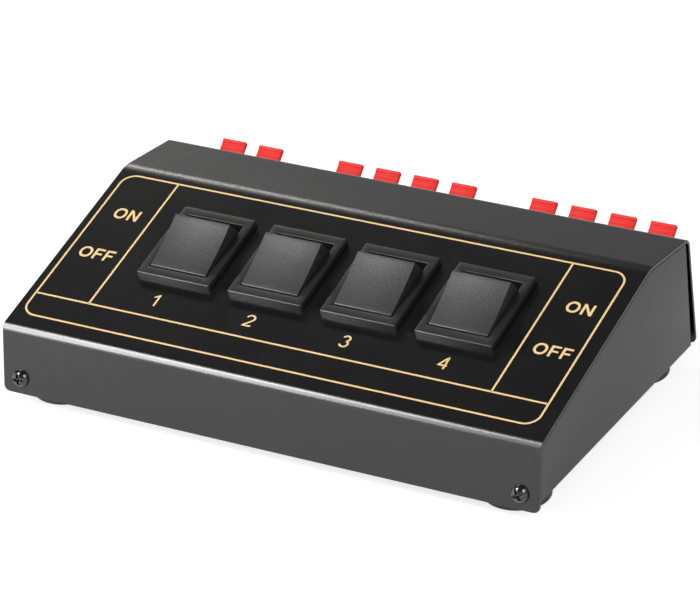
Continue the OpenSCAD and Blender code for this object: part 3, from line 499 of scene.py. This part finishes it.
def fold_line(marks):
    """Stations along the folded sheet: (y, z) of the outside, its normal, flat and distance.

    A flat of length L heading at angle h holds points start + d (cos h, sin h). A bend
    of radius r turns the heading in 17 equal steps about its centre, and starts
    r tan(turn / 2) before the corner. marks lists extra distances for each flat, and
    one station more lies 0.3 mm from each bend.
    """
    rows, start, names = [], np.array([-60.377124, 3.7]), list(FLATS)
    for n, name in enumerate(names):
        h = np.radians(HEADINGS[name])
        along = np.array([np.cos(h), np.sin(h)])
        out = np.array([-np.sin(h), np.cos(h)])
        before, after = BENDS[name]
        turn0 = np.radians(HEADINGS[names[n - 1]] - HEADINGS[name]) if n else 0
        turn1 = np.radians(HEADINGS[name] - HEADINGS[names[n + 1]]) if n < 3 else 0
        d0, d1 = before * np.tan(turn0 / 2), FLATS[name] - after * np.tan(turn1 / 2)
        inner = [d for d in marks.get(name, ()) if d0 + 0.25 < d < d1 - 0.25]
        beside = ([d0 + 0.3] if n else []) + ([d1 - 0.3] if n < 3 else [])
        stops = sorted(set([d0, d1] + inner + beside))
        rows += [(*(start + d * along), *out, n, d) for d in stops]
        start = start + FLATS[name] * along
        if n < 3:
            centre = start - after * np.tan(turn1 / 2) * along - after * out
            for t in np.linspace(0, turn1, 18)[1:-1]:
                out_t = np.array([-np.sin(h - t), np.cos(h - t)])
                rows.append((*(centre + after * out_t), *out_t, -1, 0.0))
    return np.array(rows)


cover_paint = finish("satin black powder coat", (0.0036, 0.0036, 0.0038), 0.27, 0.0004,
                     0.000008, 0.15, specular=0.8)
corner = 2.0
curl = corner - corner * np.cos(np.linspace(0, np.pi / 2, 9))
cut_half = (BODY_HALF[0] + 0.2, BODY_HALF[1] + 0.2)
slot_past = 6.95                             # from the outer columns to a slot's ends
block_spans = [(first - slot_past, first + COLUMN_PITCH * (count - 1) + slot_past)
               for first, count in BLOCKS]
slot_low, slot_high = BLOCK_UP - 12.1, BLOCK_UP + 12.1
rear_length = FLATS["rear"]
marks = {"front": list(curl[1:]) + [8.0, 14.0],
         "panel": [ROCKER_UP - cut_half[1], ROCKER_UP + cut_half[1], 20.0],
         "top": [14.0],
         "rear": [rear_length - c for c in (slot_high, slot_low, *curl[1:])]}
line = fold_line(marks)
edges_x = [x + s * cut_half[0] for x in ROCKER_X for s in (-1, 1)]
edges_x += [x - HALF_WIDTH for span in block_spans for x in span]
edges_x += [-88.6, 88.6, -HALF_WIDTH, HALF_WIDTH]
across = np.array(sorted(set(np.round(edges_x, 4))))
flat, along = line[:, 4], line[:, 5]
from_edge = np.full(len(line), 99.0)
from_edge[flat == 0] = along[flat == 0]
from_edge[flat == 3] = rear_length - along[flat == 3]
within = corner - np.minimum(from_edge, corner)
cut_in = corner - np.sqrt(np.clip(corner**2 - within**2, 0, None))
limit = HALF_WIDTH - np.where(from_edge < corner, cut_in, 0)
grid_x = np.clip(across[None], -limit[:, None], limit[:, None])
points = np.stack([grid_x, np.broadcast_to(line[:, 0][:, None], grid_x.shape),
                   np.broadcast_to(line[:, 1][:, None], grid_x.shape)], -1)
rows_n, cols_n = grid_x.shape
i, j = np.meshgrid(np.arange(rows_n - 1), np.arange(cols_n - 1), indexing="ij")
quads = np.stack([i * cols_n + j, i * cols_n + j + 1,
                  (i + 1) * cols_n + j + 1, (i + 1) * cols_n + j], -1)
mid_x = (across[:-1] + across[1:]) / 2
mid_s = (along[:-1] + along[1:]) / 2
on_flat = np.where(flat[:-1] == flat[1:], flat[:-1], -1)
in_rocker = (np.abs(mid_x[:, None] - ROCKER_X) < cut_half[0]).any(1)
rocker_rows = (on_flat == 1) & (np.abs(mid_s - ROCKER_UP) < cut_half[1])
in_block = np.array([any(a < x + HALF_WIDTH < b for a, b in block_spans) for x in mid_x])
mid_up = rear_length - mid_s
block_rows = (on_flat == 3) & (mid_up > slot_low) & (mid_up < slot_high)
open_cell = (rocker_rows[:, None] & in_rocker[None]) | (block_rows[:, None] & in_block[None])
cover = solid("folded_cover", points.reshape(-1, 3) * MM, quads[~open_cell].tolist())
work = bmesh.new()
work.from_mesh(cover.data)
bmesh.ops.remove_doubles(work, verts=work.verts, dist=1e-7)
work.to_mesh(cover.data)
work.free()
sheet = cover.modifiers.new("sheet thickness", "SOLIDIFY")
sheet.thickness = 1.0 * MM
sheet.offset = -1.0
sheet.use_even_offset = True
round_edges(cover, 0.00014, 3, 60)
dress(cover, cover_paint, "case", "cover_paint", "top_cover")


# ---------------------------------------------------------------- cover screws
# Pan-head thread-forming screws with a cross recess, blackened and oiled, so they
# glint. Two hold the front flange to its lips, two the rear, and six smaller ones
# hold the terminal blocks.
def pan_head(name, places, head, height, cross, shank, length, move):
    """Screw heads as a polar grid, joined in one mesh.

    The dome is the spherical cap of that height, with its rim rolled under. Inside
    the cross, whose arms are cross wide, it sinks by a smooth step to a cone, which
    makes the driver's recess. The shank is a plain cylinder behind the seat.
    """
    radii = np.concatenate([np.linspace(0.02, 0.78, 30), np.linspace(0.82, 1, 7)]) * head
    angles = np.linspace(0, 2 * np.pi, 96, endpoint=False)
    r, a = np.meshgrid(radii, angles, indexing="ij")
    dome = (head**2 + height**2) / (2 * height)
    rise = np.sqrt(dome**2 - r**2) - (dome - height)
    rolled = 0.18 * height * np.sqrt(np.clip(1 - (r / head)**8, 0, 1))
    rise = np.maximum(rise, 0.0) * 0.82 + rolled
    u, v = np.abs(r * np.cos(a)), np.abs(r * np.sin(a))
    arm_reach = 0.62 * head
    inside = np.maximum(np.minimum(cross / 2 - u, arm_reach - v),
                        np.minimum(cross / 2 - v, arm_reach - u))
    step = np.clip(inside / (0.12 * head) + 0.25, 0, 1)
    sink = step * step * (3 - 2 * step) * height * (0.72 - 0.45 * r / head)
    rings = np.stack([r * np.cos(a), r * np.sin(a), rise - sink], -1)
    tail_r = np.array([head, head * 0.97, shank, shank, shank * 0.7])[:, None]
    tail_z = np.array([-0.0, -0.0, -0.0, -length + 0.6 * MM, -length])[:, None]
    tail = np.stack([tail_r * np.cos(angles), tail_r * np.sin(angles), tail_z + 0 * angles], -1)
    rings = np.concatenate([rings, tail[1:]])
    k, m = rings.shape[:2]
    quads = skin(k, m).tolist()
    caps = [list(range(m)), list(range((k - 1) * m, k * m))[::-1]]
    points, faces = [], []
    for x, y, z, spin in places:
        c, s = np.cos(np.radians(spin)), np.sin(np.radians(spin))
        p = rings.reshape(-1, 3)
        local = np.stack([p[:, 0] * c - p[:, 1] * s, p[:, 0] * s + p[:, 1] * c, p[:, 2]], -1)
        faces += [[q + len(points) * k * m for q in f] for f in quads + caps]
        points.append(move(local, (x, y, z)))
    return solid(name, np.vstack(points), faces)


FRONT_EDGE = np.array([0, -60.377124, 3.7]) * MM


def facing_front(p, place):
    """Screw axis out of the front flange: x runs to the right and y up the flange."""
    x, up, out = p[:, 0] + place[0], p[:, 1] + place[2], p[:, 2] + place[1]
    c, s = np.cos(FRONT_LEAN), np.sin(FRONT_LEAN)
    return np.stack([x, FRONT_EDGE[1] + up * s - out * c, FRONT_EDGE[2] + up * c + out * s], -1)


def facing_rear(p, place):
    """Screw axis out of the rear flange: x runs to the left and y up the flange."""
    return on_rear(np.stack([place[0] - p[:, 0], p[:, 2] + place[1], p[:, 1] + place[2]], -1))


screw_black = finish("blackened screw steel", (0.008, 0.008, 0.008), 0.16, 0.0006, 0.000004,
                     0.2, coat=0.6, specular=0.7)
screw_side, front_up, rear_up = 84.8 * MM, 5.2 * MM, 3.6 * MM
cover_screw = (2.9 * MM, 2.2 * MM, 0.9 * MM, 1.35 * MM, 4.5 * MM)
small_screw = (2.1 * MM, 1.3 * MM, 0.7 * MM, 1.1 * MM, 5.5 * MM)
front_places = [(-screw_side, 0, front_up, 8), (screw_side, 0, front_up, 32)]
front_screws = pan_head("front_screws", front_places, *cover_screw, facing_front)
dress(front_screws, screw_black, "case", "black_screw", "front_cover_screws")
rear_places = [(-screw_side, 0, rear_up, 20), (screw_side, 0, rear_up, 65)]
rear_screws = pan_head("rear_screws", rear_places, *cover_screw, facing_rear)
dress(rear_screws, screw_black, "case", "black_screw", "rear_cover_screws")
ears = [(x - HALF_WIDTH) * MM for a, b in block_spans for x in (a + 0.2 - 2.5, b - 0.2 + 2.5)]
ear_places = [(x, 3 * MM, BLOCK_UP * MM, 20 + 31 * n) for n, x in enumerate(ears)]
block_screws = pan_head("block_screws", ear_places, *small_screw, facing_rear)
dress(block_screws, screw_black, "case", "block_screw", "terminal_block_screws")


# ---------------------------------------------------------------- printing
# The legend is screen printed in pale gold ink: a frame with two side fields and a
# bare band below, the switch numbers, and ON and OFF at both sides. The ink stands a
# few hundredths of a millimetre proud.
def ribbon(path, width, closed=False):
    """A flat stroke of ink along a path on the panel.

    Each path point is moved half the width to both sides along the mitred normal, and
    the four rails, two at the face and two sunk in the paint, make a closed strip.
    """
    path = np.asarray(path, float)
    if closed:
        ahead, behind = np.roll(path, -1, 0) - path, path - np.roll(path, 1, 0)
    else:
        step = np.diff(path, axis=0)
        ahead, behind = np.vstack([step, step[-1:]]), np.vstack([step[:1], step])
    n1 = np.stack([-ahead[:, 1], ahead[:, 0]], -1) / np.linalg.norm(ahead, axis=1)[:, None]
    n0 = np.stack([-behind[:, 1], behind[:, 0]], -1) / np.linalg.norm(behind, axis=1)[:, None]
    mitre = (n0 + n1) / np.maximum(1 + (n0 * n1).sum(1), 0.25)[:, None] * width / 2
    rails = np.stack([path + mitre, path - mitre, path - mitre, path + mitre], 1)
    height = np.array([INK, INK, -INK, -INK])[None, :, None]
    height = np.broadcast_to(height, rails.shape[:2] + (1,))
    points = np.concatenate([rails, height], -1).reshape(-1, 3)
    k = len(path)
    i, j = np.meshgrid(np.arange(k if closed else k - 1), np.arange(4), indexing="ij")
    n, up = (j + 1) % 4, (i + 1) % k
    quads = np.stack([i * 4 + j, i * 4 + n, up * 4 + n, up * 4 + j], -1).reshape(-1, 4).tolist()
    if not closed:
        quads += [[3, 2, 1, 0], [k * 4 - 4, k * 4 - 3, k * 4 - 2, k * 4 - 1]]
    return points, quads


def plate(outline):
    """A flat patch of ink: a closed anticlockwise outline, its sides sunk in the paint."""
    outline = np.asarray(outline, float)
    k = len(outline)
    points = np.vstack([np.column_stack([outline, np.full(k, z)]) for z in (INK, -INK)])
    sides = [[a, a + k, (a + 1) % k + k, (a + 1) % k] for a in range(k)]
    return points, [list(range(k)), list(range(2 * k - 1, k - 1, -1))] + sides


def print_ink(name, strokes):
    """Joins strokes of ink in one piece, placed in mm from the left and the lower bend."""
    points, faces, count = [], [], 0
    for p, f in strokes:
        faces += [[q + count for q in face] for face in f]
        count += len(p)
        points.append(p)
    p = np.vstack(points) * MM
    p[:, 0] -= HALF_WIDTH * MM
    dress(solid(name, on_panel(p), faces, smooth=False), gold_ink, "case", None)


def letters(word, x, y, height, width, stroke):
    """Plain upright capitals O, N and F, centred on (x, y)."""
    gap = 0.16 * height
    wide = {"O": width, "N": width * 0.86, "F": width * 0.72}
    total = sum(wide[c] for c in word) + gap * (len(word) - 1)
    left, strokes, t, h = x - total / 2, [], stroke, height
    for c in word:
        w = wide[c]
        if c == "O":
            a = np.linspace(0, 2 * np.pi, 40, endpoint=False)
            ca, sa = np.cos(a), np.sin(a)
            round_o = np.stack([np.sign(ca) * np.abs(ca)**0.9 * (w - t) / 2 + left + w / 2,
                                np.sign(sa) * np.abs(sa)**0.9 * (h - t * 0.92) / 2 + y], -1)
            strokes.append(ribbon(round_o, t, True))
        elif c == "N":
            shape = [(0, 0), (t, 0), (t, h * 0.70), (w - t, 0), (w, 0),
                     (w, h), (w - t, h), (w - t, h * 0.30), (t, h), (0, h)]
            strokes.append(plate([(left + u, y - h / 2 + v) for u, v in shape]))
        else:
            shape = [(0, 0), (t, 0), (t, h * 0.41), (w * 0.9, h * 0.41),
                     (w * 0.9, h * 0.41 + t * 0.9), (t, h * 0.41 + t * 0.9),
                     (t, h - t * 0.95), (w, h - t * 0.95), (w, h), (0, h)]
            strokes.append(plate([(left + u, y - h / 2 + v) for u, v in shape]))
        left += w + gap
    return strokes


def digit(number, x, y, height, stroke):
    """The numbers 1 to 4, centred on (x, y): stems are plates, bowls arcs of ellipses."""
    h, w, t = height, height * 0.56, stroke

    def placed(shape):
        return [(x + u * w, y + (v - 0.5) * h) for u, v in shape]

    if number == 1:
        shape = [(0.02, 0), (0.02 + t / w, 0), (0.02 + t / w, 1), (-0.12 + t / w, 1),
                 (-0.42, 0.78), (-0.42, 0.67), (0.02, 0.80)]
        return [plate(placed(shape))]
    if number == 2:
        a = np.radians(np.linspace(170, -38, 20))
        bowl = np.stack([0.46 * np.cos(a), 0.705 + 0.245 * np.sin(a)], -1)
        path = np.vstack([bowl, [(0.02, 0.34), (-0.34, 0.15), (-0.43, 0.055), (0.5, 0.055)]])
        return [ribbon(placed(path), t)]
    if number == 3:
        a = np.radians(np.linspace(165, -80, 18))
        b = np.radians(np.linspace(80, -165, 20))
        upper = np.stack([0.40 * np.cos(a), 0.735 + 0.215 * np.sin(a)], -1)
        lower = np.stack([0.46 * np.cos(b), 0.29 + 0.24 * np.sin(b)], -1)
        return [ribbon(placed(part), t) for part in (upper, lower)]
    stem = [(0.16, 0), (0.16 + t / w, 0), (0.16 + t / w, 1), (0.16, 1)]
    arm_path = [(0.2, 0.96), (-0.46, 0.285), (0.52, 0.285)]
    return [plate(placed(stem)), ribbon(placed(arm_path), t)]


INK = 0.03
gold_ink = finish("gold screen ink", (0.60, 0.43, 0.20), 0.45, 0.00025, 0.000006, 0.06)
LEFT, RIGHT, TOP, RULE, BOTTOM = 2.83, 177.0, 73.4, 15.82, 6.38
LEFT_FIELD, RIGHT_FIELD = 21.85, 158.7
line_w, bow = 0.64, 4.6
letter_h, letter_w, letter_stroke = 4.7, 4.3, 0.82
digit_up, digit_h, digit_stroke = 22.96, 5.0, 0.62
frame_path = round_corners([(LEFT, BOTTOM), (RIGHT, BOTTOM), (RIGHT, TOP), (LEFT, TOP)], bow, 12)
print_ink("printed_frame", [ribbon(frame_path, line_w, True),
                            ribbon([(LEFT, RULE), (RIGHT, RULE)], line_w),
                            ribbon([(LEFT_FIELD, RULE), (LEFT_FIELD, TOP)], line_w),
                            ribbon([(RIGHT_FIELD, RULE), (RIGHT_FIELD, TOP)], line_w)])
words = []
for x, y, word in ((12.73, 55.9, "ON"), (12.6, 36.9, "OFF"),
                   (169.0, 55.6, "ON"), (168.8, 36.5, "OFF")):
    words += letters(word, x, y, letter_h, letter_w, letter_stroke)
print_ink("printed_words", words)
numbers = []
for k, x in enumerate((41.8, 74.5, 107.1, 139.9)):
    numbers += digit(k + 1, x, digit_up, digit_h, digit_stroke)
print_ink("printed_numbers", numbers)


# ---------------------------------------------------------------- studio
# A pale floor that runs out to white, a dim sky for the panel to mirror, a tall soft
# lamp ahead on the left, weak ones low down, overhead and right, and a strip behind.
floor_half, floor_down = 6, -0.0002
floor_corners = [(x * floor_half, y * floor_half, floor_down)
                 for x, y in ((-1, -1), (1, -1), (1, 1), (-1, 1))]
floor_mesh = bpy.data.meshes.new("floor")
floor_mesh.from_pydata(floor_corners, [], [(0, 1, 2, 3)])
floor = bpy.data.objects.new("floor", floor_mesh)
bpy.context.scene.collection.objects.link(floor)
floor_paper = bpy.data.materials.new("floor paper")
floor_paper.use_nodes = True
paper = floor_paper.node_tree
paper_shader = paper.nodes["Principled BSDF"]
paper_shader.inputs["Base Color"].default_value = (0.42, 0.42, 0.42, 1)
paper_shader.inputs["Roughness"].default_value = 0.9
paper_shader.inputs["Specular IOR Level"].default_value = 0.1
rays = paper.nodes.new("ShaderNodeLightPath")
mirrored = paper.nodes.new("ShaderNodeMath")
mirrored.operation = "MULTIPLY"
mirrored.inputs[1].default_value = 0.36
paper.links.new(rays.outputs["Is Glossy Ray"], mirrored.inputs[0])
seen = paper.nodes.new("ShaderNodeMath")
seen.operation = "MULTIPLY_ADD"
seen.inputs[1].default_value = 0.72
paper.links.new(rays.outputs["Is Camera Ray"], seen.inputs[0])
paper.links.new(mirrored.outputs[0], seen.inputs[2])
paper_shader.inputs["Emission Color"].default_value = (1, 1, 1, 1)
paper.links.new(seen.outputs[0], paper_shader.inputs["Emission Strength"])
floor_mesh.materials.append(floor_paper)


def lamp(name, place, aim, along, size, power, colour=(1, 1, 1)):
    """An area lamp at place that faces aim, its second side as near along as it can be."""
    light = bpy.data.lights.new(name, "AREA")
    light.shape = "RECTANGLE"
    light.size, light.size_y = size
    light.energy = power
    light.color = colour
    holder = bpy.data.objects.new(name, light)
    bpy.context.scene.collection.objects.link(holder)
    away = (Vector(place) - Vector(aim)).normalized()
    side = Vector(along).cross(away).normalized()
    turn = Matrix((side, away.cross(side), away)).transposed()
    holder.matrix_world = Matrix.Translation(place) @ turn.to_4x4()


lamp("key", (-0.70, -0.938, 0.695), (0, -0.058, 0.025), (0, 0.606, 0.795), (0.30, 0.9), 14.0)
lamp("overhead", (-0.505, -0.50, 0.87), (0, 0, 0.04), (1, 0, 0), (0.28, 0.28), 5.2)
lamp("front fill", (-0.34, -0.36, 0.09), (-0.07, -0.058, 0.015), (0, 0, 1), (0.16, 0.16), 0.62)
lamp("right fill", (0.60, -0.30, 0.50), (0.12, 0, 0), (0, 0, 1), (0.4, 0.4), 3.5)
lamp("rear strip", (-0.80, 0.835, 0.665), (0, 0.017, 0.046), (1, 0, 0), (0.08, 0.6), 2.4,
     (1, 0.97, 0.92))
world = bpy.data.worlds.new("studio")
bpy.context.scene.world = world
world.use_nodes = True
sky = world.node_tree
ground = sky.nodes["Background"]
direction = sky.nodes.new("ShaderNodeTexCoord").outputs["Generated"]
split = sky.nodes.new("ShaderNodeSeparateXYZ")
sky.links.new(direction, split.inputs[0])
dome = sky.nodes.new("ShaderNodeValToRGB")
sky.links.new(split.outputs["Z"], dome.inputs["Fac"])
stops = dome.color_ramp.elements
stops[0].position, stops[0].color = 0.0, (0.95, 0.95, 0.95, 1)
stops[1].position, stops[1].color = 1.0, (0.02, 0.02, 0.02, 1)
for at, level in ((0.15, 0.8), (0.27, 0.22), (0.4, 0.07), (0.6, 0.03)):
    stop = stops.new(at)
    stop.color = (level, level, level, 1)
path_info = sky.nodes.new("ShaderNodeLightPath")
mirror_mix = sky.nodes.new("ShaderNodeMix")
mirror_mix.data_type = "RGBA"
mirror_mix.inputs["A"].default_value = (0.34, 0.34, 0.35, 1)
sky.links.new(path_info.outputs["Is Glossy Ray"], mirror_mix.inputs["Factor"])
sky.links.new(dome.outputs["Color"], mirror_mix.inputs["B"])
eye_mix = sky.nodes.new("ShaderNodeMix")
eye_mix.data_type = "RGBA"
eye_mix.inputs["B"].default_value = (1, 1, 1, 1)
sky.links.new(path_info.outputs["Is Camera Ray"], eye_mix.inputs["Factor"])
sky.links.new(mirror_mix.outputs["Result"], eye_mix.inputs["A"])
sky.links.new(eye_mix.outputs["Result"], ground.inputs["Color"])
ground.inputs["Strength"].default_value = 1.0

bpy.context.scene.view_settings.view_transform = "Standard"
